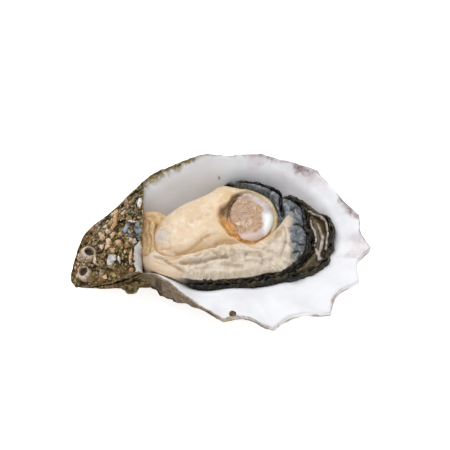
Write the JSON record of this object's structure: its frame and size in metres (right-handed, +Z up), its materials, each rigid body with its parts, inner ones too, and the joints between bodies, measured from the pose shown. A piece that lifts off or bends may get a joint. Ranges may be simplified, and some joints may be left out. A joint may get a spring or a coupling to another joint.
{
  "type": "oyster in shell",
  "caption": "Opened oyster lying in its cupped half, with a frilled pale lip, glossy flesh and an encrusted hinge end.",
  "frame": {"origin": "under the middle of the bounding box, on the plane that the keel rests on", "axes": "+X from the hinge towards the wide lip, +Y towards the high back wall, +Z up"},
  "size_m": [0.1078, 0.0675, 0.0266],
  "materials": {
    "pearl": "smooth white nacre inside, rough and layered outside",
    "growth": "rough olive brown growth",
    "lime": "ribbed chalky plates",
    "cream": "wet creased cream flesh",
    "dusky": "wet wrinkled dusky flesh",
    "ochre": "wet folded ochre flesh",
    "slate": "wet slate frill that turns cream at the front",
    "olive": "wet dark ridges with pale crests"
  },
  "bodies": {
    "root": {"shell": "pearl", "hinge_crust": "growth", "barnacle_1": "lime", "barnacle_2": "lime", "body": "cream", "muscle": "dusky", "palps": "ochre", "mantle": "slate", "gills": "olive"}
  },
  "joints": []
}
